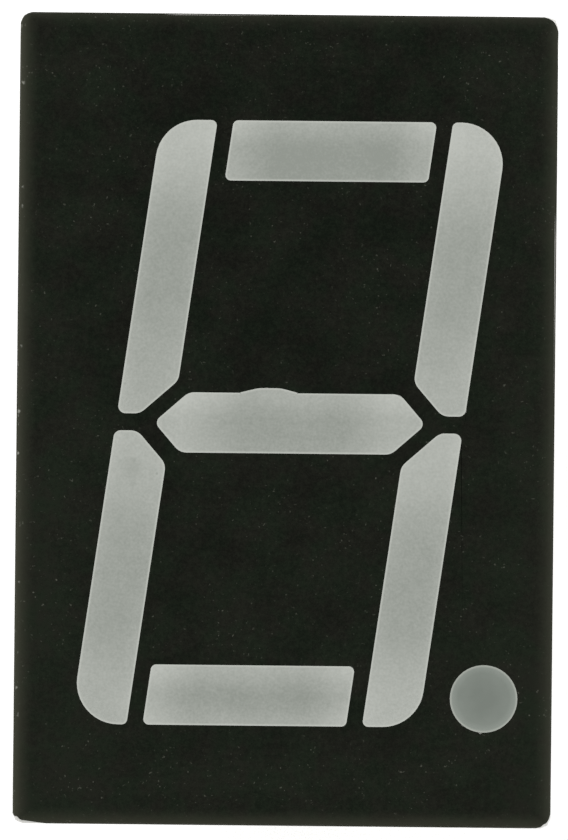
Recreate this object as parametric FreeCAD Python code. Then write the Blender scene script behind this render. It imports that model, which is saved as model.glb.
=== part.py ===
import FreeCAD, Part

import math
import os

# A single-digit display with seven bars and a decimal point, in millimetres.
# The back rim of the housing lies on z = 0, the printed face looks along +Z and the digit's top along +Y.

# Housing
BODY_WIDTH = 12.6
BODY_LENGTH = 19.0
BODY_DEPTH = 8.0  # back rim to printed face
BODY_CORNER = 0.24
FACE_ROUNDING = 0.18  # round the front edge, under the ink too
ROUNDING_STEPS = 2
DRAFT_ANGLE = 0.5  # degrees, the sides close in towards the back
SIDE_WALL = 0.5  # at the back rim
INNER_CORNER = 0.3
FACE_PLATE = 1.2  # plastic under the face, between the wells

# Digit, drawn upright and then slanted
SLANT = 8.0  # degrees from the body's length
DIGIT_SIDE_MARGIN = 1.235  # from the body's sides to the digit's outermost corners
DIGIT_END_MARGIN = 2.42  # from the body's ends to the digit
DIGIT_SHIFT_X = 0.10  # digit centre from body centre
DIGIT_SHIFT_Y = -0.075
CROSS_BAR = 1.41  # height of bars a, g and d
UPRIGHT_BAR = 1.315  # width of bars b, c, e and f, along X
BAR_GAP = 0.375  # between an upright bar and bars a and d
MITRE_GAP = 0.395  # between an upright bar and the middle bar, square to the mitre
MIDDLE_GAP = 0.40  # between an upper and a lower upright bar
BLUNT_END = 0.535  # what the mitre leaves of an upright bar's end
OUTER_ROUNDING = 0.97  # the digit's four outer corners
MITRE_ROUNDING = 0.35  # both ends of each mitre
FOOT_ROUNDING = 0.17  # the other corner of an upright bar's mitred end
BAR_ROUNDING = 0.13
TIP_ROUNDING = 0.17  # the two points of the middle bar

# Decimal point
POINT_DIAMETER = 1.58
POINT_GAP = 0.64  # to bar c, along X
POINT_DROP = 0.11  # below the digit's foot

# Chipped rim on the middle bar's upper edge, filled by the bar's epoxy
CHIP_PLACE = -0.59  # along the bar from its middle
CHIP_WIDTH = 1.42  # where it opens out into the edge
CHIP_CREST = 0.52  # its even middle
CHIP_BITE = 0.115
CHIP_ROUNDING = 0.8
CHIP_DEPTH = 0.12

# Wells
WELL_LAND = 0.5  # straight stretch under the face
WELL_STEP = 0.04  # inwards, from the land to the flat sides of the taper
OPENING_LENGTH = 1.75
OPENING_WIDTH = 0.95
OPENING_ROUNDING = 0.12
POINT_OPENING = 1.16
FUNNEL_WALL = 0.4
JOINT_GAP = 0.1  # from a funnel to the solder joints of its row, at the board

# Face print, with its corners worn back
INK_THICKNESS = 0.04
INK_MARGIN = 0.01
INK_WEAR_TOP_LEFT = 0.28
INK_WEAR_TOP_RIGHT = 0.36
INK_WEAR_BOTTOM_RIGHT = 0.36
FLAKE_LENGTH = 0.78  # of the flake lost at the bottom left corner, along the foot
FLAKE_HEIGHT = 0.17

# Circuit board
BOARD_THICKNESS = 1.0
BOARD_GAP = 0.12  # round the board's edge
BOARD_CORNER = 0.2
POTTING_RECESS = 0.3  # below the back rim
POTTING_COVER = 1.2  # epoxy behind the board
HOLE_GAP = 0.02  # between a pin's corners and its hole
COPPER_THICKNESS = 0.035  # let into the board's front
TRACK_WIDTH = 0.3
PIN_PAD = 1.0
CHIP_PAD = 0.46
WIRE_PAD = 0.34

# Ribs that the board rests on
RIB_REACH = 0.5
RIB_WIDTH = 0.9
SIDE_RIBS = 3

# Pins
PINS_PER_ROW = 5
PIN_SIDE_MARGIN = 1.22  # from the body's sides to the outer pins
PIN_END_MARGIN = 1.88  # from the body's ends to the rows
PIN_DIAMETER = 0.5
PIN_LENGTH = 6.0  # below the back rim
ROOT_START = 0.1  # above the back rim, where the pin turns from round to flattened
ROOT_WIDTH = 0.72
ROOT_THICKNESS = 0.34
ROOT_CHAMFER = 0.08
STEM_WIDTH = 0.40  # of the square stretch through the board
PIN_HEAD = 0.30  # above the board
SOLDER_FOOT = 0.84
SOLDER_TOP = 0.62
SOLDER_COVER = 0.08  # over a pin's head
SEALED_SIDES = 8  # flat sides of the round forms that are sealed inside

# Chips and bond wires
DIE_BASE = 0.30
DIE_TOP = 0.26
DIE_HEIGHT = 0.25
DIE_TO_BOND = 0.65
WIRE_THICKNESS = 0.04
WIRE_RISE = 0.16
WIRE_FOOT = 0.08
WIRE_STEPS = 4

FACE_Z = BODY_DEPTH - INK_THICKNESS
PLATE_Z = FACE_Z - FACE_PLATE
BOARD_BACK_Z = POTTING_RECESS + POTTING_COVER
BOARD_Z = BOARD_BACK_Z + BOARD_THICKNESS
DRAFT = BODY_DEPTH * math.tan(math.radians(DRAFT_ANGLE))
INNER_X = BODY_WIDTH / 2 - DRAFT - SIDE_WALL
INNER_Y = BODY_LENGTH / 2 - DRAFT - SIDE_WALL
DIGIT_HEIGHT = BODY_LENGTH - 2 * DIGIT_END_MARGIN
DIGIT_WIDTH = BODY_WIDTH - 2 * DIGIT_SIDE_MARGIN - DIGIT_HEIGHT * math.tan(math.radians(SLANT))
PIN_PITCH = (BODY_WIDTH - 2 * PIN_SIDE_MARGIN) / (PINS_PER_ROW - 1)
ROW_SPACING = BODY_LENGTH - 2 * PIN_END_MARGIN
OPENING_LIMIT = ROW_SPACING / 2 - SOLDER_FOOT / 2 - JOINT_GAP - FUNNEL_WALL  # what wells reach beside a row


def anticlockwise(corners):
    """The corners in anticlockwise order."""
    area = sum(
        corners[i - 1][0] * corners[i][1] - corners[i][0] * corners[i - 1][1]
        for i in range(len(corners))
    )
    return corners if area > 0 else corners[::-1]


def grown(corners, by):
    """Anticlockwise corners moved outwards, so that every edge and arc moves by the same distance."""
    result = []
    for i, (x, y, rounding) in enumerate(corners):
        normals = []
        for start, end in ((corners[i - 1], corners[i]), (corners[i], corners[(i + 1) % len(corners)])):
            run = FreeCAD.Vector(end[0] - start[0], end[1] - start[1], 0).normalize()
            normals.append(FreeCAD.Vector(run.y, -run.x, 0))
        shift = (normals[0] + normals[1]) * (by / (1 + normals[0].dot(normals[1])))
        result.append((x + shift.x, y + shift.y, rounding + by))
    return result


def rounding_points(before, corner, after, radius):
    """The start, middle and end of the arc that rounds a corner."""
    back = (before - corner).normalize()
    ahead = (after - corner).normalize()
    half = back.getAngle(ahead) / 2
    inward = (back + ahead).normalize()
    reach = radius / math.tan(half)
    middle = corner + inward * (radius / math.sin(half) - radius)
    return corner + back * reach, middle, corner + ahead * reach


def outline(corners, z):
    """A closed wire at height z through corners given as (x, y, rounding)."""
    points = [FreeCAD.Vector(x, y, z) for x, y, _ in corners]
    arcs = [
        rounding_points(points[i - 1], points[i], points[(i + 1) % len(points)], corners[i][2])
        for i in range(len(points))
    ]
    edges = []
    for i, (start, middle, end) in enumerate(arcs):
        edges.append(Part.Arc(start, middle, end).toShape())
        edges.append(Part.LineSegment(end, arcs[(i + 1) % len(arcs)][0]).toShape())
    return Part.Wire(edges)


def rectangle(half_x, half_y, rounding):
    """Corners of a rectangle about the origin."""
    return [
        (half_x, -half_y, rounding),
        (half_x, half_y, rounding),
        (-half_x, half_y, rounding),
        (-half_x, -half_y, rounding),
    ]


def prism(corners, low, high):
    """A straight solid over the rounded corners, from one height to another."""
    return Part.Face(outline(corners, low)).extrude(FreeCAD.Vector(0, 0, high - low))


def blunted(corners):
    """2-D points round the corners, each rounding replaced by two short straight edges."""
    points = [FreeCAD.Vector(x, y, 0) for x, y, _ in corners]
    result = []
    for i, (_, _, rounding) in enumerate(corners):
        arc = rounding_points(points[i - 1], points[i], points[(i + 1) % len(points)], rounding)
        result += [(point.x, point.y) for point in arc]
    return result


def regular(x, y, diameter):
    """2-D points of a round form with flat sides, which lie inside the circle."""
    radius = diameter / 2
    turns = [2 * math.pi * (i + 0.5) / SEALED_SIDES for i in range(SEALED_SIDES)]
    return [(x + radius * math.cos(turn), y + radius * math.sin(turn)) for turn in turns]


def flat_sided(sections):
    """A closed solid through sections given as (2-D points, height), whose matching edges are parallel."""
    rings = [[FreeCAD.Vector(x, y, z) for x, y in points] for points, z in sections]
    faces = [Part.Face(Part.makePolygon(ring + ring[:1])) for ring in (rings[0], rings[-1])]
    for low, high in zip(rings, rings[1:]):
        for i in range(len(low)):
            side = [low[i - 1], low[i], high[i], high[i - 1], low[i - 1]]
            faces.append(Part.Face(Part.makePolygon(side)))
    solid = Part.Solid(Part.Shell(faces))
    return solid if solid.Volume > 0 else solid.reversed()


def cylinder(radius, x, y, low, high):
    """An upright cylinder."""
    return Part.makeCylinder(radius, high - low, FreeCAD.Vector(x, y, low))


def ribbon(points, width):
    """The outline, as plain points, of a strip of this width along a path of 2-D points."""
    vectors = [FreeCAD.Vector(a, b, 0) for a, b in points]
    runs = [(vectors[i + 1] - vectors[i]).normalize() for i in range(len(vectors) - 1)]
    left, right = [], []
    for i, point in enumerate(vectors):
        before = runs[max(i - 1, 0)]
        after = runs[min(i, len(runs) - 1)]
        normal = FreeCAD.Vector(-before.y - after.y, before.x + after.x, 0).normalize()
        reach = width / 2 / normal.dot(FreeCAD.Vector(-after.y, after.x, 0))
        left.append(point + normal * reach)
        right.append(point - normal * reach)
    return [(p.x, p.y) for p in left + right[::-1]]


def on_face(u, v):
    """A point of the upright digit, slanted and placed on the body."""
    return DIGIT_SHIFT_X + u + v * math.tan(math.radians(SLANT)), DIGIT_SHIFT_Y + v


def slanted(corners):
    """Corners of the upright digit, slanted, placed and set in anticlockwise order."""
    return anticlockwise([(*on_face(u, v), rounding) for u, v, rounding in corners])


def upright_bar(side, level):
    """Face outline, board opening and centre of an upright bar: side -1 is left, level -1 is low."""

    def corners(inner, outer, near, far, mitre, roundings):
        points = [(inner, far), (inner, near + mitre), (inner + mitre, near), (outer, near), (outer, far)]
        return slanted([(side * u, level * v, rounding) for (u, v), rounding in zip(points, roundings)])

    outer = DIGIT_WIDTH / 2
    inner = outer - UPRIGHT_BAR
    near = MIDDLE_GAP / 2
    far = DIGIT_HEIGHT / 2
    mitre = UPRIGHT_BAR - BLUNT_END
    u, v = (inner + outer) / 2, (near + far) / 2
    across, along = OPENING_WIDTH / 2, OPENING_LENGTH / 2
    roundings = (BAR_ROUNDING, MITRE_ROUNDING, MITRE_ROUNDING, FOOT_ROUNDING, OUTER_ROUNDING)
    face = corners(inner, outer, near, far, mitre, roundings)
    mitre *= OPENING_WIDTH / UPRIGHT_BAR
    opening = corners(u - across, u + across, v - along, v + along, mitre, [OPENING_ROUNDING] * 5)
    return face, opening, on_face(side * u, level * v)


def cross_bar(level):
    """Face outline, board opening and centre of the top or bottom bar."""

    def corners(half_length, low, high, rounding):
        shape = [
            (-half_length, low, rounding),
            (half_length, low, rounding),
            (half_length, high, rounding),
            (-half_length, high, rounding),
        ]
        return slanted([(u, level * v, r) for u, v, r in shape])

    half_length = DIGIT_WIDTH / 2 - UPRIGHT_BAR - BAR_GAP
    high = DIGIT_HEIGHT / 2
    face = corners(half_length, high - CROSS_BAR, high, BAR_ROUNDING)
    limit = OPENING_LIMIT - level * DIGIT_SHIFT_Y
    opening = corners(OPENING_LENGTH / 2, limit - OPENING_WIDTH, limit, OPENING_ROUNDING)
    return face, opening, on_face(0, level * (limit - OPENING_WIDTH / 2))


def middle_bar():
    """Face outline, board opening and centre of the pointed middle bar."""

    def corners(tip, half_height, rounding, tip_rounding):
        shoulder = tip - half_height
        return slanted(
            [
                (-shoulder, -half_height, rounding),
                (shoulder, -half_height, rounding),
                (tip, 0, tip_rounding),
                (shoulder, half_height, rounding),
                (-shoulder, half_height, rounding),
                (-tip, 0, tip_rounding),
            ]
        )

    tip = DIGIT_WIDTH / 2 - BLUNT_END + MIDDLE_GAP / 2 - MITRE_GAP * math.sqrt(2)
    face = corners(tip, CROSS_BAR / 2, MITRE_ROUNDING, TIP_ROUNDING)
    opening = corners(OPENING_LENGTH / 2, OPENING_WIDTH / 2, OPENING_ROUNDING, OPENING_ROUNDING)
    return face, opening, on_face(0, 0)


def well(face, opening):
    """A bar's well: a land with the bar's outline, then flat sides that close in to the board opening."""
    land = prism(face, BODY_DEPTH - WELL_LAND, BODY_DEPTH)
    return land.fuse(taper(blunted(grown(face, -WELL_STEP)), blunted(opening)))


def taper(face, opening):
    """What narrows from a face outline to a board opening, both as 2-D points."""
    return flat_sided([(opening, BOARD_Z), (face, BODY_DEPTH - WELL_LAND)])


def funnel(face, opening):
    """The outside of a bar's funnel, sharp-cornered, up to the back of the ink."""
    face, opening = ([(x, y) for x, y, _ in grown(corners, FUNNEL_WALL)] for corners in (face, opening))
    return taper(face, opening).fuse(flat_sided([(face, BODY_DEPTH - WELL_LAND), (face, FACE_Z)]))


def point_place():
    """Centre of the decimal point on the face."""
    y = -DIGIT_HEIGHT / 2 + DIGIT_SHIFT_Y - POINT_DROP + POINT_DIAMETER / 2
    edge_x, _ = on_face(DIGIT_WIDTH / 2, y - DIGIT_SHIFT_Y)
    return edge_x + POINT_GAP + POINT_DIAMETER / 2, y


def point_well():
    """The decimal point's well, the outside of its funnel, and the centre of its board opening."""
    x, y = point_place()
    centre = x, POINT_OPENING / 2 - OPENING_LIMIT
    land = cylinder(POINT_DIAMETER / 2, x, y, BODY_DEPTH - WELL_LAND, BODY_DEPTH)
    inside = taper(regular(x, y, POINT_DIAMETER - 2 * WELL_STEP), regular(*centre, POINT_OPENING))
    wall = 2 * FUNNEL_WALL
    face = regular(x, y, POINT_DIAMETER + wall)
    outside = taper(face, regular(*centre, POINT_OPENING + wall))
    outside = outside.fuse(flat_sided([(face, BODY_DEPTH - WELL_LAND), (face, FACE_Z)]))
    return land.fuse(inside), outside, centre


def rim_chip():
    """What is broken out of the rim above the middle bar: a shallow bite that runs out at both ends."""
    edge = CROSS_BAR / 2
    sharp = CHIP_BITE / 5
    corners = [
        (-CHIP_WIDTH / 2, edge, sharp),
        (-CHIP_CREST / 2, edge + CHIP_BITE, CHIP_ROUNDING),
        (CHIP_CREST / 2, edge + CHIP_BITE, CHIP_ROUNDING),
        (CHIP_WIDTH / 2, edge, sharp),
        (0, 0, sharp),
    ]
    bite = slanted([(CHIP_PLACE + u, v, rounding) for u, v, rounding in corners])
    return prism(bite, BODY_DEPTH - CHIP_DEPTH, BODY_DEPTH)


def pin_places():
    """Pin number to place: 1 to 5 along the foot from the left, 6 to 10 back along the top."""
    places = {}
    for i in range(PINS_PER_ROW):
        x = (i - (PINS_PER_ROW - 1) / 2) * PIN_PITCH
        places[i + 1] = (x, -ROW_SPACING / 2)
        places[2 * PINS_PER_ROW - i] = (x, ROW_SPACING / 2)
    return places


class Light:
    """One lit area: its well, the outside of its funnel, and where its chip and wire bond lie."""

    def __init__(self, name, pin, direction, well, funnel, centre):
        self.name = name
        self.pin = pin
        self.direction = direction
        self.well = well
        self.funnel = funnel
        dx, dy = direction
        x, y = centre
        self.die = (x - dx * DIE_TO_BOND / 2, y - dy * DIE_TO_BOND / 2)
        self.bond = (x + dx * DIE_TO_BOND / 2, y + dy * DIE_TO_BOND / 2)


def lights():
    """All eight, in the order a to g and the point, each with its pin and its wire's direction."""
    right, left, up, down = (1, 0), (-1, 0), (0, 1), (0, -1)
    bars = [
        ("a", 7, right, cross_bar(1)),
        ("b", 6, up, upright_bar(1, 1)),
        ("c", 4, down, upright_bar(1, -1)),
        ("d", 2, left, cross_bar(-1)),
        ("e", 1, down, upright_bar(-1, -1)),
        ("f", 9, up, upright_bar(-1, 1)),
        ("g", 10, left, middle_bar()),
    ]
    result = []
    for name, pin, direction, (face, opening, centre) in bars:
        inside = well(face, opening)
        if name == "g":
            inside = inside.fuse(rim_chip()).removeSplitter()
        result.append(Light(name, pin, direction, inside, funnel(face, opening), centre))
    return result + [Light("point", 5, down, *point_well())]


def ribs():
    """Ribs inside the walls, whose ends carry the board: evenly spaced along each side, two at each end."""
    result = []
    spacing = 2 * INNER_Y / (SIDE_RIBS + 1)
    for side in (-1, 1):
        x = side * (INNER_X - RIB_REACH / 2)
        for i in range(SIDE_RIBS):
            result.append(rib(x, (i - (SIDE_RIBS - 1) / 2) * spacing, RIB_REACH, RIB_WIDTH))
        for place in (-PIN_PITCH / 2, PIN_PITCH / 2):
            y = side * (INNER_Y - RIB_REACH / 2)
            result.append(rib(place, y, RIB_WIDTH, RIB_REACH))
    return result


def rib(x, y, length, width):
    """One rib, from the board up to the face plate."""
    corner = FreeCAD.Vector(x - length / 2, y - width / 2, BOARD_Z)
    return Part.makeBox(length, width, PLATE_Z - BOARD_Z, corner)


def hollow(all_lights):
    """The open space behind the face plate, between the funnels and the ribs."""
    kept = all_lights[0].funnel.multiFuse([light.funnel for light in all_lights[1:]] + ribs())
    return prism(rectangle(INNER_X, INNER_Y, INNER_CORNER), 0, PLATE_Z).cut(kept)


def block(height):
    """The drafted block of this height, its small roundings made of a few narrow flats."""
    back = rectangle(BODY_WIDTH / 2 - DRAFT, BODY_LENGTH / 2 - DRAFT, BODY_CORNER)
    front = rectangle(BODY_WIDTH / 2, BODY_LENGTH / 2, BODY_CORNER)
    sections = [(blunted(back), 0)]
    for step in range(ROUNDING_STEPS + 1):
        turn = math.radians(90 * step / ROUNDING_STEPS)
        inset = FACE_ROUNDING * (1 - math.cos(turn))
        drop = FACE_ROUNDING * (1 - math.sin(turn))
        sections.append((blunted(grown(front, -inset)), height - drop))
    return flat_sided(sections)


def housing(all_lights, space):
    """The moulded shell: a drafted block, less its hollow back and its wells."""
    wells = Part.makeCompound([light.well for light in all_lights])
    return block(FACE_Z).cut(space).cut(wells)


def face_print(all_lights):
    """The ink over the face and its rounded edge, less the windows, the worn corners and a lost flake."""
    half_x = BODY_WIDTH / 2 - INK_MARGIN
    half_y = BODY_LENGTH / 2 - INK_MARGIN
    corners = [
        (-half_x + FLAKE_LENGTH, -half_y, FLAKE_HEIGHT / 5),
        (half_x, -half_y, INK_WEAR_BOTTOM_RIGHT),
        (half_x, half_y, INK_WEAR_TOP_RIGHT),
        (-half_x, half_y, INK_WEAR_TOP_LEFT),
        (-half_x, -half_y + FLAKE_HEIGHT, FLAKE_HEIGHT / 5),
        (-half_x + FLAKE_HEIGHT / 2, -half_y + FLAKE_HEIGHT, FLAKE_HEIGHT / 5),
        (-half_x + FLAKE_HEIGHT, -half_y + FLAKE_HEIGHT / 2, FLAKE_HEIGHT / 5),
    ]
    sheet = prism(corners, FACE_Z - FACE_ROUNDING, BODY_DEPTH).common(block(BODY_DEPTH))
    windows = [light.well for light in all_lights]
    return sheet.cut(block(FACE_Z)).cut(Part.makeCompound(windows))


def strip(points):
    """A copper track along 2-D points, let into the board's front."""
    return plate(ribbon(points, TRACK_WIDTH))


def plate(points):
    """A flat piece of copper with this outline."""
    ring = [FreeCAD.Vector(x, y, BOARD_Z - COPPER_THICKNESS) for x, y in points]
    return Part.Face(Part.makePolygon(ring + ring[:1])).extrude(FreeCAD.Vector(0, 0, COPPER_THICKNESS))


def square_pad(place, size):
    """A square pad."""
    x, y = place
    half = size / 2
    return plate([(x - half, y - half), (x + half, y - half), (x + half, y + half), (x - half, y + half)])


def copper(all_lights):
    """The nets on the board: one from each chip's wire to its pin, and one that all chips stand on."""
    pins = pin_places()
    by_name = {light.name: light for light in all_lights}
    nets = []
    for light in all_lights:
        end = pins[light.pin]
        route = [light.bond, (end[0], light.bond[1]), end] if light.name == "g" else [light.bond, end]
        nets.append([strip(route), square_pad(light.bond, WIRE_PAD), pin_pad(end)])
    nets.append(common_net(pins, by_name))
    shapes = [parts[0].multiFuse(parts[1:]).removeSplitter() for parts in nets]
    holes = Part.makeCompound([pin_hole(place) for place in pins.values()])
    return [shape.cut(holes) for shape in shapes]


def common_net(pins, by_name):
    """The net that joins every chip's underside and the middle pins, along a bus beside the digit's axis."""
    foot, top = pins[3], pins[8]
    bus_x = by_name["g"].die[0]
    parts = [strip([top, (bus_x, top[1] - PIN_PAD), (bus_x, foot[1] + PIN_PAD), foot])]
    parts += [pin_pad(foot), pin_pad(top)]
    for name, light in by_name.items():
        parts.append(square_pad(light.die, CHIP_PAD))
        if name not in ("g", "point"):
            parts.append(strip([(bus_x, light.die[1]), light.die]))
    start, end = by_name["c"].die, by_name["point"].die
    parts.append(strip([start, (end[0], start[1]), end]))
    return parts


def sealed_post(place, diameter, low, high):
    """An upright round form sealed inside, with flat sides."""
    ring = regular(*place, diameter)
    return flat_sided([(ring, low), (ring, high)])


def pin_pad(place):
    """A round pad about a pin."""
    return sealed_post(place, PIN_PAD, BOARD_Z - COPPER_THICKNESS, BOARD_Z)


def pin_hole(place):
    """A pin's hole through the board, whose flat sides clear the corners of its square stem."""
    flats = math.cos(math.pi / SEALED_SIDES)
    diameter = (STEM_WIDTH * math.sqrt(2) + 2 * HOLE_GAP) / flats
    return sealed_post(place, diameter, BOARD_BACK_Z, BOARD_Z)


def board_blank():
    """The board before it is drilled."""
    corners = rectangle(INNER_X - BOARD_GAP, INNER_Y - BOARD_GAP, BOARD_CORNER)
    return prism(corners, BOARD_BACK_Z, BOARD_Z)


def board(nets):
    """The drilled board with its copper let in."""
    holes = [pin_hole(place) for place in pin_places().values()]
    return board_blank().cut(Part.makeCompound(holes + nets))


def pin(place):
    """A round lead cut off square, a flattened root in the epoxy, and a square stem through the board."""
    x, y = place
    lead = cylinder(PIN_DIAMETER / 2, x, y, -PIN_LENGTH, ROOT_START)
    half_x, half_y, cut = ROOT_WIDTH / 2, ROOT_THICKNESS / 2, ROOT_CHAMFER
    quarter = [(half_x, half_y - cut), (half_x - cut, half_y)]
    ring = quarter + [(-a, b) for a, b in quarter[::-1]]
    ring += [(-a, -b) for a, b in ring]
    root = [(x + a, y + b) for a, b in ring]
    half = STEM_WIDTH / 2
    stem = [(x + a * half, y + b * half) for a, b in ((1, 1), (-1, 1), (-1, -1), (1, -1))]
    sealed = [
        flat_sided([(root, ROOT_START), (root, BOARD_BACK_Z)]),
        flat_sided([(stem, BOARD_BACK_Z), (stem, BOARD_Z + PIN_HEAD)]),
    ]
    return lead.multiFuse(sealed)


def solder(place, head):
    """A joint of solder that wets a pad and covers the head of its pin."""
    foot, top = (regular(*place, diameter) for diameter in (SOLDER_FOOT, SOLDER_TOP))
    return flat_sided([(foot, BOARD_Z), (top, BOARD_Z + PIN_HEAD + SOLDER_COVER)]).cut(head)


def die(light):
    """A light-emitting chip, sawn with slightly leaning sides, on its pad."""
    x, y = light.die
    sections = []
    for size, z in ((DIE_BASE, BOARD_Z), (DIE_TOP, BOARD_Z + DIE_HEIGHT)):
        half = size / 2
        sections.append(([(x + a * half, y + b * half) for a, b in ((-1, -1), (1, -1), (1, 1), (-1, 1))], z))
    return flat_sided(sections)


def bond_wire(light):
    """A wire from the top of a chip, up over a low loop and down to its pad."""
    start = BOARD_Z + DIE_HEIGHT + WIRE_THICKNESS / 2
    end = BOARD_Z + WIRE_THICKNESS / 2
    path = [(-WIRE_FOOT / 2, start)]
    for i in range(WIRE_STEPS + 1):
        part = i / WIRE_STEPS
        along = WIRE_FOOT / 2 + part * (DIE_TO_BOND - WIRE_FOOT)
        path.append((along, start + (end - start) * part + 4 * WIRE_RISE * part * (1 - part)))
    path.append((DIE_TO_BOND + WIRE_FOOT / 2, end))
    forward = FreeCAD.Vector(*light.direction, 0)
    across = FreeCAD.Vector(-forward.y, forward.x, 0) * WIRE_THICKNESS
    origin = FreeCAD.Vector(*light.die, 0) - across * 0.5
    ring = [origin + forward * s + FreeCAD.Vector(0, 0, z) for s, z in ribbon(path, WIRE_THICKNESS)]
    return Part.Face(Part.makePolygon(ring + ring[:1])).extrude(across)


def potting(space, all_lights, joints, pins):
    """The epoxy in the back: all of the hollow above its own level that no other piece fills."""
    fill = space.common(prism(rectangle(INNER_X, INNER_Y, INNER_CORNER), POTTING_RECESS, PLATE_Z))
    wells = [light.well for light in all_lights]
    return fill.cut(Part.makeCompound(wells + [board_blank()] + joints + pins))


def build():
    """Every node's shape by its name."""
    all_lights = lights()
    space = hollow(all_lights)
    nets = copper(all_lights)
    places = pin_places()
    pins = {number: pin(place) for number, place in places.items()}
    joints = [solder(place, pins[number]) for number, place in places.items()]
    nodes = {
        "reflector_housing": housing(all_lights, space),
        "face_print": face_print(all_lights),
        "circuit_board": board(nets),
        "copper_tracks": Part.makeCompound(nets),
        "solder_joints": Part.makeCompound(joints),
        "back_potting": potting(space, all_lights, joints, list(pins.values())),
    }
    for light in all_lights:
        chip = die(light)
        wire = bond_wire(light)
        guide = "decimal_point" if light.name == "point" else f"segment_{light.name}"
        nodes[guide] = light.well.cut(Part.makeCompound([chip, wire]))
        nodes[f"led_chip_{light.name}"] = chip
        nodes[f"bond_wire_{light.name}"] = wire
    for number, shape in pins.items():
        nodes[f"pin_{number}"] = shape
    return nodes


os.makedirs("parts", exist_ok=True)
for node, shape in build().items():
    shape.exportStep(f"parts/{node}.step")
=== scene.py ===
import math

import bmesh
import bpy
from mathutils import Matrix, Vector, noise


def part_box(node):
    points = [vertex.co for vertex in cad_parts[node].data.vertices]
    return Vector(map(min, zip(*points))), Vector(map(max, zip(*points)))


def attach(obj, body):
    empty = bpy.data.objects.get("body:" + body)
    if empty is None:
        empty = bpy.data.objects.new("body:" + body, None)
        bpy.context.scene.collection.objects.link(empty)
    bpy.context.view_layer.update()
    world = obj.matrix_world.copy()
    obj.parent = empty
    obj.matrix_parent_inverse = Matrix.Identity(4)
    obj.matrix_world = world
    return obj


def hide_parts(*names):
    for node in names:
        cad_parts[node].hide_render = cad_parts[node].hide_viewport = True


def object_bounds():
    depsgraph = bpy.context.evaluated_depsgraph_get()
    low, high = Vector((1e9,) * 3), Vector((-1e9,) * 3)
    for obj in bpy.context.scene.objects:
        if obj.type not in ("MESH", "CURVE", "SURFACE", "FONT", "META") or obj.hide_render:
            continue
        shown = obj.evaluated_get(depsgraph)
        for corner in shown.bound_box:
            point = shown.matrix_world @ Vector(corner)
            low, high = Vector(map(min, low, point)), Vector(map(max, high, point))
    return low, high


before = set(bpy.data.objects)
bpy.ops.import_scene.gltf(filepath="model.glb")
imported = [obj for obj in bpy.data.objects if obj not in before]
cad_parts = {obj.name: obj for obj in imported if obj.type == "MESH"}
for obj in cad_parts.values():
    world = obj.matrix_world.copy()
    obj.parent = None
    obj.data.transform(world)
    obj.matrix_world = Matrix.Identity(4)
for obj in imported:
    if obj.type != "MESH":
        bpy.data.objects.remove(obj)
cad_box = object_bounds()


# Reflector housing: one moulding in white polycarbonate, with a drafted outside, eight tapered wells
# and an open back. Its back rim is barely rounded, where the two halves of the mould met.
MM = 0.001
SAME_POINT = 0.0005 * MM  # corners nearer than this are one
SHARP_ANGLE = math.radians(50)
RIM_ROUNDING = 0.05 * MM
FLOW_CLOUD = 2.5  # millimetres across, as every pattern's size here
ERODED_GRAIN = 0.07  # drawn about twice as coarse as it is, to show


def colour(hex_code):
    """An sRGB hex colour as linear RGBA."""
    parts = [int(hex_code[i : i + 2], 16) / 255 for i in (0, 2, 4)]
    return [c / 12.92 if c <= 0.04045 else ((c + 0.055) / 1.055) ** 2.4 for c in parts] + [1.0]


def add(tree, kind, inputs=None, **settings):
    """Adds a node with its settings and gives its outputs.

    An input given as a socket is linked, any other is set. Inputs and outputs go by name or number: a
    colour mix takes its share at 0 and its two colours at 6 and 7, and gives the result at 2.
    """
    made = tree.nodes.new(kind)
    for name, value in settings.items():
        setattr(made, name, value)
    for name, value in (inputs or {}).items():
        if isinstance(value, bpy.types.NodeSocket):
            tree.links.new(value, made.inputs[name])
        else:
            made.inputs[name].default_value = value
    return made.outputs


def new_material(name):
    """A node material with its tree and its Object coordinates, counted in millimetres."""
    material = bpy.data.materials.new(name)
    material.use_nodes = True
    tree = material.node_tree
    tree.nodes.clear()
    metres = add(tree, "ShaderNodeTexCoord")["Object"]
    place = add(tree, "ShaderNodeVectorMath", {0: metres, "Scale": 1 / MM}, operation="SCALE")
    return material, tree, place["Vector"]


def end_in(tree, shader):
    """Ends a material's tree in this shader, given by its outputs."""
    add(tree, "ShaderNodeOutputMaterial", {"Surface": shader[0]})


def dress(piece, material):
    """Puts one material on a piece or CAD node."""
    piece.data.materials.clear()
    piece.data.materials.append(material)


def merged_copy(node):
    """A CAD node's mesh as a form to work on, with its loose triangles joined."""
    form = bmesh.new()
    form.from_mesh(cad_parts[node].data)
    bmesh.ops.remove_doubles(form, verts=form.verts, dist=SAME_POINT)
    return form


def stand_for(node, form, material):
    """Makes a form into the piece that replaces a CAD node, shaded smooth across its small steps."""
    for face in form.faces:
        face.smooth = True
    for edge in form.edges:
        edge.smooth = edge.calc_face_angle(math.pi) < SHARP_ANGLE
    mesh = bpy.data.meshes.new(f"finished_{node}")
    form.to_mesh(mesh)
    form.free()
    piece = bpy.data.objects.new(f"finished_{node}", mesh)
    bpy.context.scene.collection.objects.link(piece)
    dress(piece, material)
    even = piece.modifiers.new("even_shading", "WEIGHTED_NORMAL")
    even.keep_sharp = True
    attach(piece, "root")
    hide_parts(node)


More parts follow.
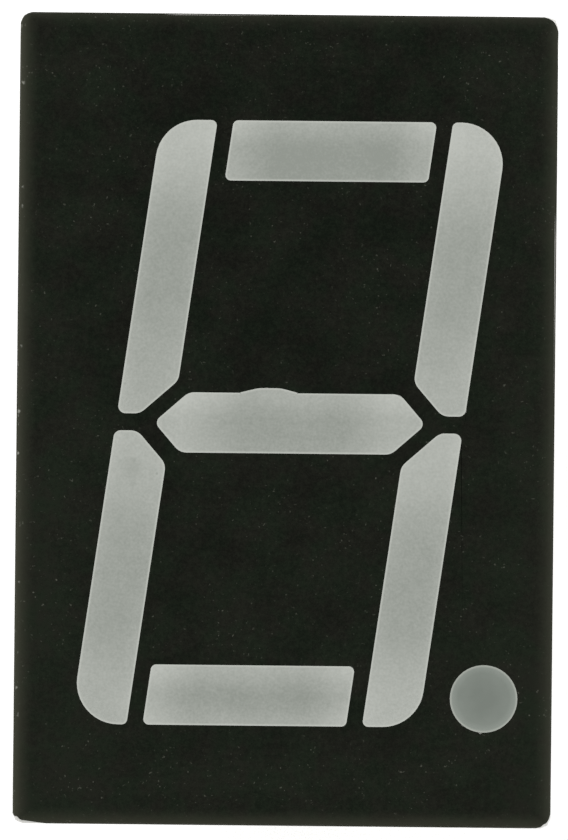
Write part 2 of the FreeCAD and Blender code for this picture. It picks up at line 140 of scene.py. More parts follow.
# moulded polycarbonate: a warm white with a satin skin, faint flow clouds and a fine spark-eroded grain
polycarbonate, tree, place = new_material("moulded_white_polycarbonate")
flow = add(tree, "ShaderNodeTexNoise", {"Vector": place, "Scale": 1 / FLOW_CLOUD, "Detail": 3.0})["Fac"]
flow = add(tree, "ShaderNodeMapRange", {"Value": flow, "From Min": 0.35, "From Max": 0.65})["Result"]
skin = add(tree, "ShaderNodeMix", {0: flow, 6: colour("e3e2dc"), 7: colour("e9e8e4")}, data_type="RGBA")
grain = add(tree, "ShaderNodeTexNoise", {"Vector": place, "Scale": 1 / ERODED_GRAIN, "Detail": 2.0})["Fac"]
gloss = add(tree, "ShaderNodeMapRange", {"Value": grain, "To Min": 0.36, "To Max": 0.48})
relief = add(tree, "ShaderNodeBump", {"Height": grain, "Distance": 0.003 * MM})
end_in(tree, add(tree, "ShaderNodeBsdfPrincipled", {
    "Base Color": skin[2],
    "Roughness": gloss["Result"],
    "Normal": relief["Normal"],
    "IOR": 1.58,
}))

form = merged_copy("reflector_housing")
rim = [edge for edge in form.edges if all(corner.co.z < SAME_POINT for corner in edge.verts)]
rim = [edge for edge in rim if edge.calc_face_angle(0) > SHARP_ANGLE]
bmesh.ops.bevel(form, geom=rim, offset=RIM_ROUNDING, segments=2, profile=0.5, affect="EDGES")
stand_for("reflector_housing", form, polycarbonate)


# Circuit board: a laminate of glass cloth and epoxy that closes the wells from behind. It is sealed in
# for good once the back is cast.
WEAVE_PITCH = 0.5

# pressed glass epoxy: a dull yellow, half matt, with the faint lines of its cloth
laminate, tree, place = new_material("glass_epoxy_laminate")
weave = add(tree, "ShaderNodeTexWave", {"Vector": place, "Scale": 1 / WEAVE_PITCH, "Distortion": 0.3})["Fac"]
cloth = add(tree, "ShaderNodeMix", {0: weave, 6: colour("b9b27e"), 7: colour("cbc592")}, data_type="RGBA")
end_in(tree, add(tree, "ShaderNodeBsdfPrincipled", {"Base Color": cloth[2], "Roughness": 0.45, "IOR": 1.55}))
dress(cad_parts["circuit_board"], laminate)


# Copper tracks and solder joints: nine nets etched from one copper foil and let into the board, and ten
# fillets of tin solder that hold the pins to them.
def worked_metal(name, dark, light, patch_size, roughness, stretch=1.0):
    """A metal with soft duller patches of this many millimetres, stretched along Z where it was drawn."""
    material, tree, place = new_material(name)
    along = add(tree, "ShaderNodeMapping", {"Vector": place, "Scale": (1, 1, 1 / stretch)})["Vector"]
    patch = add(tree, "ShaderNodeTexNoise", {"Vector": along, "Scale": 1 / patch_size, "Detail": 3.0})["Fac"]
    dull = add(tree, "ShaderNodeMapRange", {"Value": patch, "From Min": 0.3, "From Max": 0.7})["Result"]
    tone = add(tree, "ShaderNodeMix", {0: dull, 6: colour(light), 7: colour(dark)}, data_type="RGBA")
    skin = add(tree, "ShaderNodeMapRange", {"Value": dull, "To Min": roughness, "To Max": roughness + 0.1})
    end_in(tree, add(tree, "ShaderNodeBsdfPrincipled", {
        "Base Color": tone[2],
        "Roughness": skin["Result"],
        "Metallic": 1.0,
    }))
    return material


# etched copper: a dull orange metal, blotched where the etchant bit deeper
dress(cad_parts["copper_tracks"], worked_metal("etched_copper", "a8643f", "c98358", 0.3, 0.36))
# tin solder: a bright grey metal, frosted in places as it froze
dress(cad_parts["solder_joints"], worked_metal("tin_solder", "a9acb0", "cdd0d3", 0.2, 0.26))


# Chips and bond wires: under each light guide a small die of gallium arsenide that stands on the common
# copper, and one aluminium wire, looped from its top down to a pad of its own.
LIGHTS = (*"abcdefg", "point")

# drawn aluminium: a bright, nearly white wire
bond_metal = worked_metal("drawn_aluminium_wire", "c6c7c8", "dcdddd", 0.05, 0.25)
# sawn gallium arsenide: a golden die with a duller, mottled face
sawn_chip = worked_metal("sawn_gallium_arsenide", "b08a35", "d9b75c", 0.05, 0.45)
for light in LIGHTS:
    dress(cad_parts[f"led_chip_{light}"], sawn_chip)
    dress(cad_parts[f"bond_wire_{light}"], bond_metal)


# Light guides: milky epoxy cast into each bar-shaped well, flush with the face. Each bar's colour is painted
# light: darkest over its board opening and paler where light comes back from the well's white slopes close
# under it, most of all at its ends and on the upper side of the cross bars.
SLANT = math.tan(math.radians(8))
DIGIT_X, DIGIT_Y = 0.10, -0.075  # millimetres, the digit's centre
FACE_Z = cad_box[1][2]
RIM_WIDTH = 0.07 * MM
DISH_DEPTH = 0.008 * MM
EPOXY_CLOUD = 0.9
EPOXY_SPECKLE = 0.16
EPOXY_GRAIN = 0.06  # its filler is finer, and is drawn this coarse to show

# how pale each bar is painted in its middle, and the painted light from its well's slopes: axis, start, end
# and rise of each in the upright digit, in millimetres from its centre, u to the right and v up
BARS = {
    "a": (0.03, [
        ("u", -1.2, -2.5, 0.45), ("u", 1.2, 2.5, 0.45), ("v", 6.1, 5.6, 0.08), ("v", 6.4, 7.1, 0.42),
    ]),
    "b": (0.19, [
        ("v", 3.2, 0.6, 0.32), ("v", 4.0, 7.0, 0.72), ("u", 3.2, 2.75, 0.10), ("u", 3.7, 4.07, 0.12),
    ]),
    "c": (0.21, [
        ("v", -3.2, -0.6, 0.50), ("v", -4.2, -7.0, 0.50), ("u", 3.2, 2.75, 0.10), ("u", 3.7, 4.07, 0.12),
    ]),
    "d": (0.10, [
        ("u", -1.2, -2.5, 0.46), ("u", 1.2, 2.5, 0.40), ("v", -6.4, -7.1, 0.32), ("v", -6.4, -5.7, 0.45),
    ]),
    "e": (0.20, [
        ("v", -3.2, -0.6, 0.42), ("v", -4.0, -7.0, 0.38), ("u", -3.7, -4.07, 0.12), ("u", -3.1, -2.75, 0.10),
    ]),
    "f": (0.17, [
        ("v", 3.2, 0.6, 0.28), ("v", 4.2, 7.0, 0.68), ("u", -3.7, -4.07, 0.14), ("u", -3.1, -2.75, 0.10),
    ]),
    "g": (0.14, [
        ("u", -0.9, -2.8, 0.52), ("u", 0.9, 2.8, 0.44), ("v", -0.2, -0.7, 0.10), ("v", 0.0, 0.7, 0.36),
    ]),
}
# bubbles and dirt that show as dark spots: x, y and radius on the face, in millimetres, and depth
SPOTS = {
    "e": [
        (-3.58, -1.16, 0.42, 0.20), (-3.55, -0.97, 0.09, 0.25),
        (-3.57, -1.54, 0.10, 0.20), (-3.00, -1.28, 0.05, 0.45),
    ],
    "f": [(-2.65, 4.79, 0.05, 0.3), (-3.76, 0.82, 0.05, 0.3)],
}


def epoxy_bar(name, base, slope_light, spots):
    """Cast diffusing epoxy: a milky grey with clouds, speckle and grain.

    It is painted paler where light comes back from the well's slopes and, as a painted highlight, at the
    rim that it crept up to, and darker in small spots.
    """
    material, tree, place = new_material(f"cast_milky_epoxy_{name}")
    axes = add(tree, "ShaderNodeSeparateXYZ", {"Vector": place})
    v = add(tree, "ShaderNodeMath", {0: axes["Y"], 1: DIGIT_Y}, operation="SUBTRACT")["Value"]
    lean = add(tree, "ShaderNodeMath", {0: v, 1: SLANT, 2: DIGIT_X}, operation="MULTIPLY_ADD")["Value"]
    u = add(tree, "ShaderNodeMath", {0: axes["X"], 1: lean}, operation="SUBTRACT")["Value"]
    cloud = add(tree, "ShaderNodeTexNoise", {"Vector": place, "Scale": 1 / EPOXY_CLOUD, "Detail": 4.0})
    speckle = add(tree, "ShaderNodeTexNoise", {"Vector": place, "Scale": 1 / EPOXY_SPECKLE, "Detail": 2.0})
    grain = add(tree, "ShaderNodeTexNoise", {"Vector": place, "Scale": 1 / EPOXY_GRAIN, "Detail": 2.0})
    levels = []
    for pattern, strength in ((cloud, 0.14), (speckle, 0.14), (grain, 0.28)):
        inputs = {"Value": pattern["Fac"], "To Min": -strength, "To Max": strength}
        levels.append(add(tree, "ShaderNodeMapRange", inputs))
    # painted light: bands where light comes back from the well's slopes, stronger on the cross bars' upper
    # side
    for axis, start, end, rise in slope_light:
        inputs = {"Value": u if axis == "u" else v, "From Min": start, "From Max": end, "To Max": rise}
        levels.append(add(tree, "ShaderNodeMapRange", inputs, interpolation_type="SMOOTHSTEP"))
    for x, y, radius, depth in spots:
        away = add(tree, "ShaderNodeVectorMath", {0: place, 1: (x, y, FACE_Z / MM)}, operation="DISTANCE")
        inputs = {"Value": away["Value"], "From Max": radius, "To Min": -depth, "To Max": 0.0}
        levels.append(add(tree, "ShaderNodeMapRange", inputs, interpolation_type="SMOOTHSTEP"))
    pale = base
    for level in levels:
        inputs = {0: pale, 1: level["Result"]}
        pale = add(tree, "ShaderNodeMath", inputs, operation="ADD")["Value"]
    tone = add(tree, "ShaderNodeMix", {0: pale, 6: colour("969b93"), 7: colour("c3c6bf")}, data_type="RGBA")
    # painted highlight: the bar is painted paler along the window's rim, where the crept epoxy slopes
    rim = add(tree, "ShaderNodeAttribute", attribute_name="rim")["Fac"]
    rim = add(tree, "ShaderNodeMapRange", {"Value": rim, "From Min": 0.2, "From Max": 0.8, "To Max": 0.7})
    tone = add(tree, "ShaderNodeMix", {0: rim["Result"], 6: tone[2], 7: colour("cccfc7")}, data_type="RGBA")
    relief = add(tree, "ShaderNodeBump", {"Height": grain["Fac"], "Distance": 0.002 * MM})
    end_in(tree, add(tree, "ShaderNodeBsdfPrincipled", {
        "Base Color": tone[2],
        "Normal": relief["Normal"],
        "Roughness": 0.42,
        "IOR": 1.54,
    }))
    return material


def cast_guide(node):
    """A light guide whose skin is a little dished, because the epoxy crept up its rim before it set.

    Its point attribute "rim" is 1 along the window and 0 on the dished skin.
    """
    form = merged_copy(node)
    rim = form.verts.layers.float.new("rim")
    skin = [face for face in form.faces if face.calc_center_median().z > FACE_Z - SAME_POINT]
    for corner in {corner for face in skin for corner in face.verts}:
        corner[rim] = 1.0
    bmesh.ops.inset_region(form, faces=skin, thickness=RIM_WIDTH)
    for corner in {corner for face in skin for corner in face.verts}:
        corner[rim] = 0.0
        corner.co.z -= DISH_DEPTH
    return form


for name, (base, slope_light) in BARS.items():
    epoxy = epoxy_bar(name, base, slope_light, SPOTS.get(name, []))
    stand_for(f"segment_{name}", cast_guide(f"segment_{name}"), epoxy)


# Decimal point: the same milky epoxy, cast into the round well. That well is narrow and steep, so less
# light comes back out of it, and the point is painted darker than the bars.
POINT_CENTRE = (4.70, -6.47, FACE_Z / MM)
POINT_SPOT = (4.53, -6.33, FACE_Z / MM)
POINT_CLOUD = 0.4

# cast diffusing epoxy: a milky grey with clouds, painted darker as the shade of its narrow well, and painted
# paler in two steps towards its crept rim as light from the well's sides and a painted highlight at the rim
point_epoxy, tree, place = new_material("cast_milky_epoxy_point")
from_centre = add(tree, "ShaderNodeVectorMath", {0: place, 1: POINT_CENTRE}, operation="DISTANCE")["Value"]
from_spot = add(tree, "ShaderNodeVectorMath", {0: place, 1: POINT_SPOT}, operation="DISTANCE")["Value"]
cloud = add(tree, "ShaderNodeTexNoise", {"Vector": place, "Scale": 1 / POINT_CLOUD, "Detail": 3.0})["Fac"]
pale = 0.0
# painted light: paler in two steps from the centre out; the cloud and the dark spot are the epoxy's own
for inputs in (
    {"Value": cloud, "To Min": -0.25, "To Max": 0.25},
    {"Value": from_centre, "From Min": 0.2, "From Max": 0.65, "To Max": 0.35},
    {"Value": from_centre, "From Min": 0.6, "From Max": 0.78, "To Max": 0.65},
    {"Value": from_spot, "From Max": 0.05, "To Min": -0.5, "To Max": 0.0},
):
    level = add(tree, "ShaderNodeMapRange", inputs)["Result"]
    pale = add(tree, "ShaderNodeMath", {0: pale, 1: level}, operation="ADD")["Value"]
tone = add(tree, "ShaderNodeMix", {0: pale, 6: colour("7b827a"), 7: colour("939a92")}, data_type="RGBA")
# painted highlight: the point is painted paler along the window's rim
rim = add(tree, "ShaderNodeAttribute", attribute_name="rim")["Fac"]
rim = add(tree, "ShaderNodeMapRange", {"Value": rim, "From Min": 0.2, "From Max": 0.8, "To Max": 0.85})
tone = add(tree, "ShaderNodeMix", {0: rim["Result"], 6: tone[2], 7: colour("b2b6ad")}, data_type="RGBA")
end_in(tree, add(tree, "ShaderNodeBsdfPrincipled", {"Base Color": tone[2], "Roughness": 0.42, "IOR": 1.54}))
stand_for("decimal_point", cast_guide("decimal_point"), point_epoxy)


# Face print: one pass of matt black ink, screen-printed on the face round the windows and run over its
# rounded edge. It is painted paler towards the edge, as a painted sheen of that rounded edge, and fine dust
# lies on it.
INK_CLOUD = 0.8
INK_MOTTLE = 0.14
INK_GRAIN = 0.045
DUST_DRIFT = 1.3
DUST_SPECK = 0.075
INK_FLAKE = 0.22

# on each side the axis, where the painted sheen begins and where it is full, in millimetres, and how strong
SHEEN_SIDES = (
    ("X", -5.80, -6.27, 1.0),
    ("X", 5.80, 6.27, 0.8),
    ("Y", 9.05, 9.47, 0.6),
    ("Y", -9.05, -9.47, 0.92),
)

# screen-printed ink: a matt greenish black, clouded and mottled by how thick it lies, browner and paler
# towards the sides and the bottom, with a painted sheen in a paler band round its rounded edge, strongest on
# the left and bottom, grey specks of dust in drifts and pale bare flakes along the edge
printing_ink, tree, place = new_material("screen_printed_black_ink")
axes = add(tree, "ShaderNodeSeparateXYZ", {"Vector": place})
beside = add(tree, "ShaderNodeMath", {0: axes["X"]}, operation="ABSOLUTE")["Value"]
cloud = add(tree, "ShaderNodeTexNoise", {
    "Vector": place, "Scale": 1 / INK_CLOUD, "Detail": 4.0, "Roughness": 0.6,
})["Fac"]
mottle = add(tree, "ShaderNodeTexNoise", {
    "Vector": place, "Scale": 1 / INK_MOTTLE, "Detail": 4.0, "Roughness": 0.7,
})["Fac"]
grain = add(tree, "ShaderNodeTexNoise", {"Vector": place, "Scale": 1 / INK_GRAIN, "Detail": 1.0})["Fac"]
drifts = add(tree, "ShaderNodeTexNoise", {"Vector": place, "Scale": 1 / DUST_DRIFT, "Detail": 2.0})["Fac"]
# how much paler the ink is: from its mottle, grain and dust drifts, and towards the sides and the bottom
ink_paleness = 0.0
for inputs in (
    {"Value": mottle, "From Min": 0.42, "From Max": 0.68, "To Max": 0.5},
    {"Value": grain, "From Min": 0.3, "From Max": 0.7, "To Max": 0.4},
    {"Value": drifts, "From Min": 0.35, "From Max": 0.65, "To Min": -0.2, "To Max": 0.2},
    {"Value": beside, "From Min": 3.4, "From Max": 6.0, "To Max": 0.3},
    {"Value": axes["Y"], "From Min": 4.0, "From Max": -9.0, "To Max": 0.3},
):
    level = add(tree, "ShaderNodeMapRange", inputs)["Result"]
    ink_paleness = add(tree, "ShaderNodeMath", {0: ink_paleness, 1: level}, operation="ADD")["Value"]
hue = add(tree, "ShaderNodeMapRange", {"Value": cloud, "From Min": 0.42, "From Max": 0.58})["Result"]
dark_ink = add(tree, "ShaderNodeMix", {0: hue, 6: colour("0b120a"), 7: colour("0f100b")}, data_type="RGBA")
pale_ink = add(tree, "ShaderNodeMix", {0: hue, 6: colour("1c2319"), 7: colour("1f211a")}, data_type="RGBA")
tone = add(tree, "ShaderNodeMix", {0: ink_paleness, 6: dark_ink[2], 7: pale_ink[2]}, data_type="RGBA")

# painted sheen: a paler band round the rounded edge, strongest on the left and bottom where more light falls;
# the bare flakes of ink keep to the same band
edge_sheen_and_wear = 0.0
for axis, start, end, share in SHEEN_SIDES:
    inputs = {"Value": axes[axis], "From Min": start, "From Max": end, "To Max": share}
    band = add(tree, "ShaderNodeMapRange", inputs)["Result"]
    edge_sheen_and_wear = add(tree, "ShaderNodeMath", {0: band, 1: edge_sheen_and_wear}, operation="MAXIMUM")["Value"]
edge_sheen_and_wear = add(tree, "ShaderNodeMath", {0: edge_sheen_and_wear, 1: 2.0}, operation="POWER")["Value"]
tone = add(tree, "ShaderNodeMix", {0: edge_sheen_and_wear, 6: tone[2], 7: colour("3d3e33")}, data_type="RGBA")

specks = add(tree, "ShaderNodeTexNoise", {
    "Vector": place, "Scale": 1 / DUST_SPECK, "Detail": 1.5, "Roughness": 0.6,
})["Fac"]
specks = add(tree, "ShaderNodeMapRange", {"Value": specks, "From Min": 0.68, "From Max": 0.84})["Result"]
thick = add(tree, "ShaderNodeMapRange", {"Value": drifts, "From Min": 0.38, "From Max": 0.62, "To Max": 0.6})
dust = add(tree, "ShaderNodeMath", {0: specks, 1: thick["Result"]}, operation="MULTIPLY")["Value"]
tone = add(tree, "ShaderNodeMix", {0: dust, 6: tone[2], 7: colour("77796d")}, data_type="RGBA")

flakes = add(tree, "ShaderNodeTexNoise", {"Vector": place, "Scale": 1 / INK_FLAKE, "Detail": 2.0})["Fac"]
flakes = add(tree, "ShaderNodeMapRange", {"Value": flakes, "From Min": 0.67, "From Max": 0.73})["Result"]
thin = add(tree, "ShaderNodeMapRange", {"Value": edge_sheen_and_wear, "From Min": 0.6, "From Max": 0.85, "To Max": 0.5})
bare = add(tree, "ShaderNodeMath", {0: flakes, 1: thin["Result"]}, operation="MULTIPLY")["Value"]
tone = add(tree, "ShaderNodeMix", {0: bare, 6: tone[2], 7: colour("bdbdb3")}, data_type="RGBA")

relief = add(tree, "ShaderNodeBump", {"Height": mottle, "Distance": 0.006 * MM})
end_in(tree, add(tree, "ShaderNodeBsdfPrincipled", {
    "Base Color": tone[2],
    "Normal": relief["Normal"],
    "Roughness": 0.6,
    "Specular IOR Level": 0.065,
}))

# the ink's edge isn't as clean as its solid's: at the windows it wanders, and round the outside it laps
# over and is rubbed off again in places
INK_STEP = 0.04 * MM  # between points along the edge
WANDER_DEPTH, WANDERS_PER_MM = 0.006 * MM, 2.2
NICK_DEPTH, NICKS_PER_MM = 0.03 * MM, 6.0
NICK_LEVEL, NICK_SPAN = 0.35, 0.4  # the noise at which a nick begins, and how much more makes it whole
NICK_PLACE = Vector((7, 3, 0))  # a stretch of the noise that the waves don't use
INK_LAP = 0.0085 * MM  # over the rounded edge, beyond the solid
RUB_DEPTH, RUBS_PER_MM = 0.03 * MM, 4.0
RUB_PLACE = Vector((0.4, 0.5, 0.5))  # between the noise's grid planes, on which it is nearly zero
GRIT, GRIT_RADIUS = (4.63, -7.26), 0.05  # millimetres, a bare spot that grit on the screen left by the point
GRIT_DEPTH = 0.05 * MM
WALL_TILT = 0.1  # a wall's normal has less than this along Z
OUTER_BAND = 0.09 * MM  # the outer walls lie in it, from the print's box inwards
STRAIGHT = 0.99  # how nearly a side's straight wall faces along X or Y

form = merged_copy("face_print")
while True:
    walls = [face for face in form.faces if abs(face.normal.z) < WALL_TILT]
    long_edges = list({edge for face in walls for edge in face.edges if edge.calc_length() > INK_STEP})
    if not long_edges:
        break
    bmesh.ops.subdivide_edges(form, edges=long_edges, cuts=1)
outward = {}
for face in walls:
    for corner in face.verts:
        outward[corner] = outward.get(corner, Vector()) + Vector((face.normal.x, face.normal.y, 0))
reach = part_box("face_print")[1]
for corner, normal in outward.items():
    normal.normalize()
    outer = abs(corner.co.x) > reach.x - OUTER_BAND or abs(corner.co.y) > reach.y - OUTER_BAND
    spot = Vector((corner.co.x, corner.co.y, 0)) / MM
    if outer and max(abs(normal.x), abs(normal.y)) > STRAIGHT:
        shift = INK_LAP - max(0.0, noise.noise(spot * RUBS_PER_MM + RUB_PLACE)) * RUB_DEPTH
    else:
        shift = -max(0.0, noise.noise(spot * WANDERS_PER_MM)) * WANDER_DEPTH
    nick = max(0.0, noise.noise(spot * NICKS_PER_MM + NICK_PLACE) - NICK_LEVEL) / NICK_SPAN * NICK_DEPTH
    nick += max(0.0, 1 - math.dist(spot.xy, GRIT) / GRIT_RADIUS) * GRIT_DEPTH
    corner.co += normal * (shift - nick)
stand_for("face_print", form, printing_ink)


# Pins: ten leads of tinned copper wire, drawn round and cut square, in two rows of five. Each goes
# through the board, is soldered to its copper and stands out of the back casting.
PIN_NUMBERS = range(1, 11)

# drawn and tinned wire: a soft silver with faint streaks along it
tinned = worked_metal("tinned_copper_wire", "c4c5c4", "d2d3d2", 0.12, 0.24, stretch=12)
for number in PIN_NUMBERS:
    stand_for(f"pin_{number}", merged_copy(f"pin_{number}"), tinned)


# Back casting: milky epoxy poured in from behind to just under the rim. Before it set it crept up the
# walls and the pins, so its skin is a little dished between them.
CASTING_CLOUD = 3.0
CASTING_RIPPLE = 1.6
SKIN_DEPTH = 0.06 * MM
SKIN_RISE = 0.02 * MM  # of its flat middle over the cast body
SKIN_STEP = 0.1 * MM
CREEP = 0.14 * MM
CREEP_REACH = 0.28 * MM  # in which the climb falls to about a third
PIN_COLLAR = 0.36 * MM  # round each pin's middle, where the climb is whole

# cast epoxy: a cloudy cream with a glossy, faintly rippled skin
back_epoxy, tree, place = new_material("cast_back_epoxy")
cloud = add(tree, "ShaderNodeTexNoise", {"Vector": place, "Scale": 1 / CASTING_CLOUD, "Detail": 4.0})["Fac"]
cloud = add(tree, "ShaderNodeMapRange", {"Value": cloud, "From Min": 0.3, "From Max": 0.7})["Result"]
tone = add(tree, "ShaderNodeMix", {0: cloud, 6: colour("c4c2b0"), 7: colour("d3d1c2")}, data_type="RGBA")
ripple = add(tree, "ShaderNodeTexNoise", {"Vector": place, "Scale": 1 / CASTING_RIPPLE, "Detail": 1.0})
relief = add(tree, "ShaderNodeBump", {"Height": ripple["Fac"], "Distance": 0.03 * MM})
end_in(tree, add(tree, "ShaderNodeBsdfPrincipled", {
    "Base Color": tone[2],
    "Normal": relief["Normal"],
    "Roughness": 0.22,
    "IOR": 1.54,
}))
dress(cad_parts["back_potting"], back_epoxy)

# the skin is a sheet over the casting's box, lifted by how near each point is to a wall or a pin
low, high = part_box("back_potting")
sizes = {
    "Width": high.x - low.x,
    "Length": high.y - low.y,
    "Level": low.z - SKIN_RISE,
    "Depth": SKIN_DEPTH,
    "Step": SKIN_STEP,
    "Creep": CREEP,
    "Reach": CREEP_REACH,
    "Collar": PIN_COLLAR,
}
creep = bpy.data.node_groups.new("crept_skin", "GeometryNodeTree")
creep.interface.new_socket("Geometry", in_out="INPUT", socket_type="NodeSocketGeometry")
identifiers = {}
for name in sizes:
    socket = creep.interface.new_socket(name, in_out="INPUT", socket_type="NodeSocketFloat")
    identifiers[name] = socket.identifier
creep.interface.new_socket("Geometry", in_out="OUTPUT", socket_type="NodeSocketGeometry")
given = add(creep, "NodeGroupInput")

counts = []
for side in ("Width", "Length"):
    steps = add(creep, "ShaderNodeMath", {0: given[side], 1: given["Step"]}, operation="DIVIDE")
    counts.append(steps["Value"])
sheet = add(creep, "GeometryNodeMeshGrid", {
    "Size X": given["Width"], "Size Y": given["Length"], "Vertices X": counts[0], "Vertices Y": counts[1],
})

axes = add(creep, "ShaderNodeSeparateXYZ", {"Vector": add(creep, "GeometryNodeInputPosition")["Position"]})
past = []  # how far a point is past each wall and pin, negative in the open
for axis, side in (("X", "Width"), ("Y", "Length")):
    away = add(creep, "ShaderNodeMath", {0: axes[axis]}, operation="ABSOLUTE")["Value"]
    wall = add(creep, "ShaderNodeMath", {0: given[side], 1: 0.5}, operation="MULTIPLY")["Value"]
    past.append(add(creep, "ShaderNodeMath", {0: away, 1: wall}, operation="SUBTRACT"))
pins = add(creep, "GeometryNodeProximity", {"Geometry": given["Geometry"]}, target_element="POINTS")
past.append(add(creep, "ShaderNodeMath", {0: given["Collar"], 1: pins["Distance"]}, operation="SUBTRACT"))
climb = 0.0
for distance in past:
    inputs = {0: distance["Value"], 1: given["Reach"]}
    share = add(creep, "ShaderNodeMath", inputs, operation="DIVIDE")["Value"]
    share = add(creep, "ShaderNodeMath", {0: share, 1: 0.0}, operation="MINIMUM")["Value"]
    share = add(creep, "ShaderNodeMath", {0: share}, operation="EXPONENT")["Value"]
    climb = add(creep, "ShaderNodeMath", {0: climb, 1: share}, operation="MAXIMUM")["Value"]
climb = add(creep, "ShaderNodeMath", {0: climb, 1: given["Creep"]}, operation="MULTIPLY")["Value"]
height = add(creep, "ShaderNodeMath", {0: given["Level"], 1: climb}, operation="SUBTRACT")["Value"]
goal = add(creep, "ShaderNodeCombineXYZ", {"X": axes["X"], "Y": axes["Y"], "Z": height})

outer = add(creep, "GeometryNodeSetPosition", {"Geometry": sheet["Mesh"], "Position": goal["Vector"]})
depth = add(creep, "ShaderNodeCombineXYZ", {"Z": given["Depth"]})
inner = add(creep, "GeometryNodeExtrudeMesh", {
    "Mesh": outer["Geometry"], "Offset": depth["Vector"], "Offset Scale": 1.0, "Individual": False,
})
outer = add(creep, "GeometryNodeFlipFaces", {"Mesh": outer["Geometry"]})
both = creep.nodes.new("GeometryNodeJoinGeometry")
creep.links.new(inner["Mesh"], both.inputs["Geometry"])
creep.links.new(outer["Mesh"], both.inputs["Geometry"])
joined = both.outputs["Geometry"]
closed = add(creep, "GeometryNodeMergeByDistance", {"Geometry": joined, "Distance": SAME_POINT})
smooth = add(creep, "GeometryNodeSetShadeSmooth", {"Geometry": closed["Geometry"], "Shade Smooth": True})
real = add(creep, "GeometryNodeRealizeInstances", {"Geometry": smooth["Geometry"]})
dressed = add(creep, "GeometryNodeSetMaterial", {"Geometry": real["Geometry"], "Material": back_epoxy})
add(creep, "NodeGroupOutput", {"Geometry": dressed["Geometry"]})

centres = []
for number in PIN_NUMBERS:
    first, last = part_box(f"pin_{number}")
    centres.append(((first.x + last.x) / 2, (first.y + last.y) / 2, low.z))
pin_places = bpy.data.meshes.new("pin_places")
pin_places.from_pydata(centres, [], [])
carrier = bpy.data.objects.new("pin_places", pin_places)
bpy.context.scene.collection.objects.link(carrier)
maker = carrier.modifiers.new("crept_skin", "NODES")
maker.node_group = creep
for name, size in sizes.items():
    maker[identifiers[name]] = size
bpy.context.view_layer.update()
skin_mesh = bpy.data.meshes.new_from_object(carrier.evaluated_get(bpy.context.evaluated_depsgraph_get()))
bpy.data.objects.remove(carrier)
skin = bpy.data.objects.new("back_epoxy_skin", skin_mesh)
bpy.context.scene.collection.objects.link(skin)
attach(skin, "root")


# Studio: a white floor that the pins stand on, soft light from all round, darker straight above
# where the camera hangs, and two softboxes.
FLOOR_SIZE = 0.6  # metres
PIN_TIPS_Z = cad_box[0][2]
PAPER_FIBRES = 4.0

floor_mesh = bpy.data.meshes.new("studio_floor")
half = FLOOR_SIZE / 2
corners = [(x, y, PIN_TIPS_Z) for x, y in ((-half, -half), (half, -half), (half, half), (-half, half))]
floor_mesh.from_pydata(corners, [], [(0, 1, 2, 3)])
floor = bpy.data.objects.new("studio_floor", floor_mesh)
bpy.context.scene.collection.objects.link(floor)

# matt paper: an even white, which glows only for what looks at it, so that its white is whole and the
# display's shadow stays; from below it is clear
paper, tree, place = new_material("white_paper_sheet")
fibres = add(tree, "ShaderNodeTexNoise", {"Vector": place, "Scale": 1 / PAPER_FIBRES, "Detail": 3.0})["Fac"]
tone = add(tree, "ShaderNodeMix", {0: fibres, 6: colour("f4f4f3"), 7: colour("f8f8f7")}, data_type="RGBA")
sheet = add(tree, "ShaderNodeBsdfDiffuse", {"Color": tone[2]})["BSDF"]
ray = add(tree, "ShaderNodeLightPath")
seen = 0.0
for kind in ("Is Camera Ray", "Is Glossy Ray", "Is Transmission Ray"):
    seen = add(tree, "ShaderNodeMath", {0: seen, 1: ray[kind]}, operation="ADD")["Value"]
white = add(tree, "ShaderNodeEmission", {"Color": (1, 1, 1, 1), "Strength": 0.43})["Emission"]
glow = add(tree, "ShaderNodeAddShader", {0: sheet, 1: white})["Shader"]
upper = add(tree, "ShaderNodeMixShader", {0: seen, 1: sheet, 2: glow})["Shader"]
under = add(tree, "ShaderNodeNewGeometry")["Backfacing"]
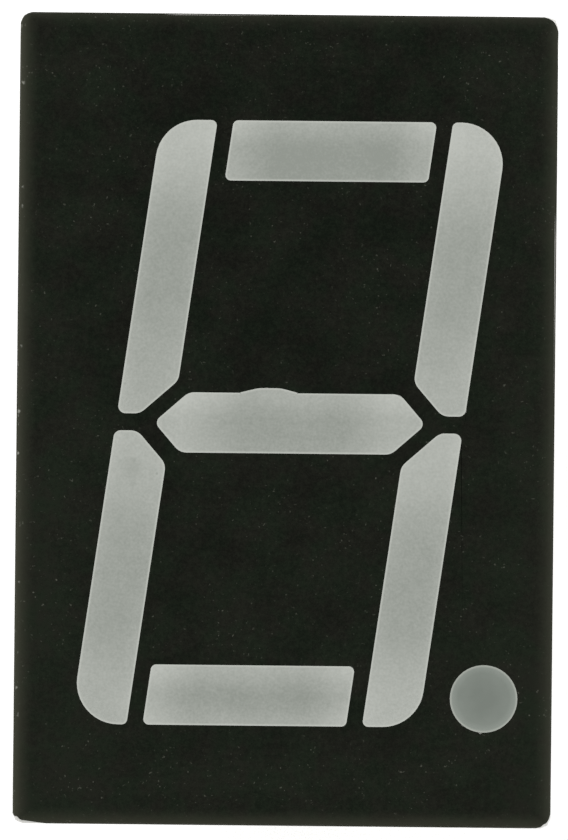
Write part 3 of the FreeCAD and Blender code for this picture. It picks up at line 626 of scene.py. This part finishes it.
clear = add(tree, "ShaderNodeBsdfTransparent")["BSDF"]
end_in(tree, add(tree, "ShaderNodeMixShader", {0: under, 1: upper, 2: clear}))
dress(floor, paper)

world = bpy.data.worlds.new("studio_surround")
world.use_nodes = True
tree = world.node_tree
direction = add(tree, "ShaderNodeTexCoord")["Generated"]
upward = add(tree, "ShaderNodeSeparateXYZ", {"Vector": direction})["Z"]
level = add(tree, "ShaderNodeMapRange", {"Value": upward, "From Min": 0.2, "To Min": 0.85, "To Max": 0.3})
seen = add(tree, "ShaderNodeLightPath")["Is Camera Ray"]
strength = add(tree, "ShaderNodeMix", {"Factor": seen, "A": level["Result"], "B": 1.0}, data_type="FLOAT")
tree.links.new(strength["Result"], tree.nodes["Background"].inputs["Strength"])
tree.nodes["Background"].inputs["Color"].default_value = (1, 1, 1, 1)
bpy.context.scene.world = world

SOFTBOX_SIZE = 0.12  # metres
for name, at, power in (
    ("softbox_left", (-0.16, 0.10, 0.16), 0.22),
    ("softbox_right", (0.17, 0.04, 0.15), 0.14),
):
    lamp = bpy.data.lights.new(name, "AREA")
    lamp.size = SOFTBOX_SIZE
    lamp.energy = power
    softbox = bpy.data.objects.new(name, lamp)
    softbox.location = at
    softbox.rotation_euler = (-Vector(at)).to_track_quat("-Z", "Y").to_euler()
    bpy.context.scene.collection.objects.link(softbox)

PHOTO_HEIGHT = 840
PIXELS_PER_MM = 42.74
CAMERA_X, CAMERA_Y = -0.036 * MM, 0.004 * MM
CAMERA_TURN = math.radians(0.59)

camera = bpy.data.cameras.new("camera")
camera.lens = 400
camera.clip_start = 0.01
camera.clip_end = 5
view = bpy.data.objects.new("camera", camera)
# the photograph's height fills the sensor's width, and its scale holds at the face
distance = PHOTO_HEIGHT / PIXELS_PER_MM * MM * camera.lens / camera.sensor_width
view.location = (CAMERA_X, CAMERA_Y, FACE_Z + distance)
view.rotation_euler = (0, 0, CAMERA_TURN)
bpy.context.scene.collection.objects.link(view)
bpy.context.scene.camera = view
bpy.context.scene.view_settings.view_transform = "Standard"
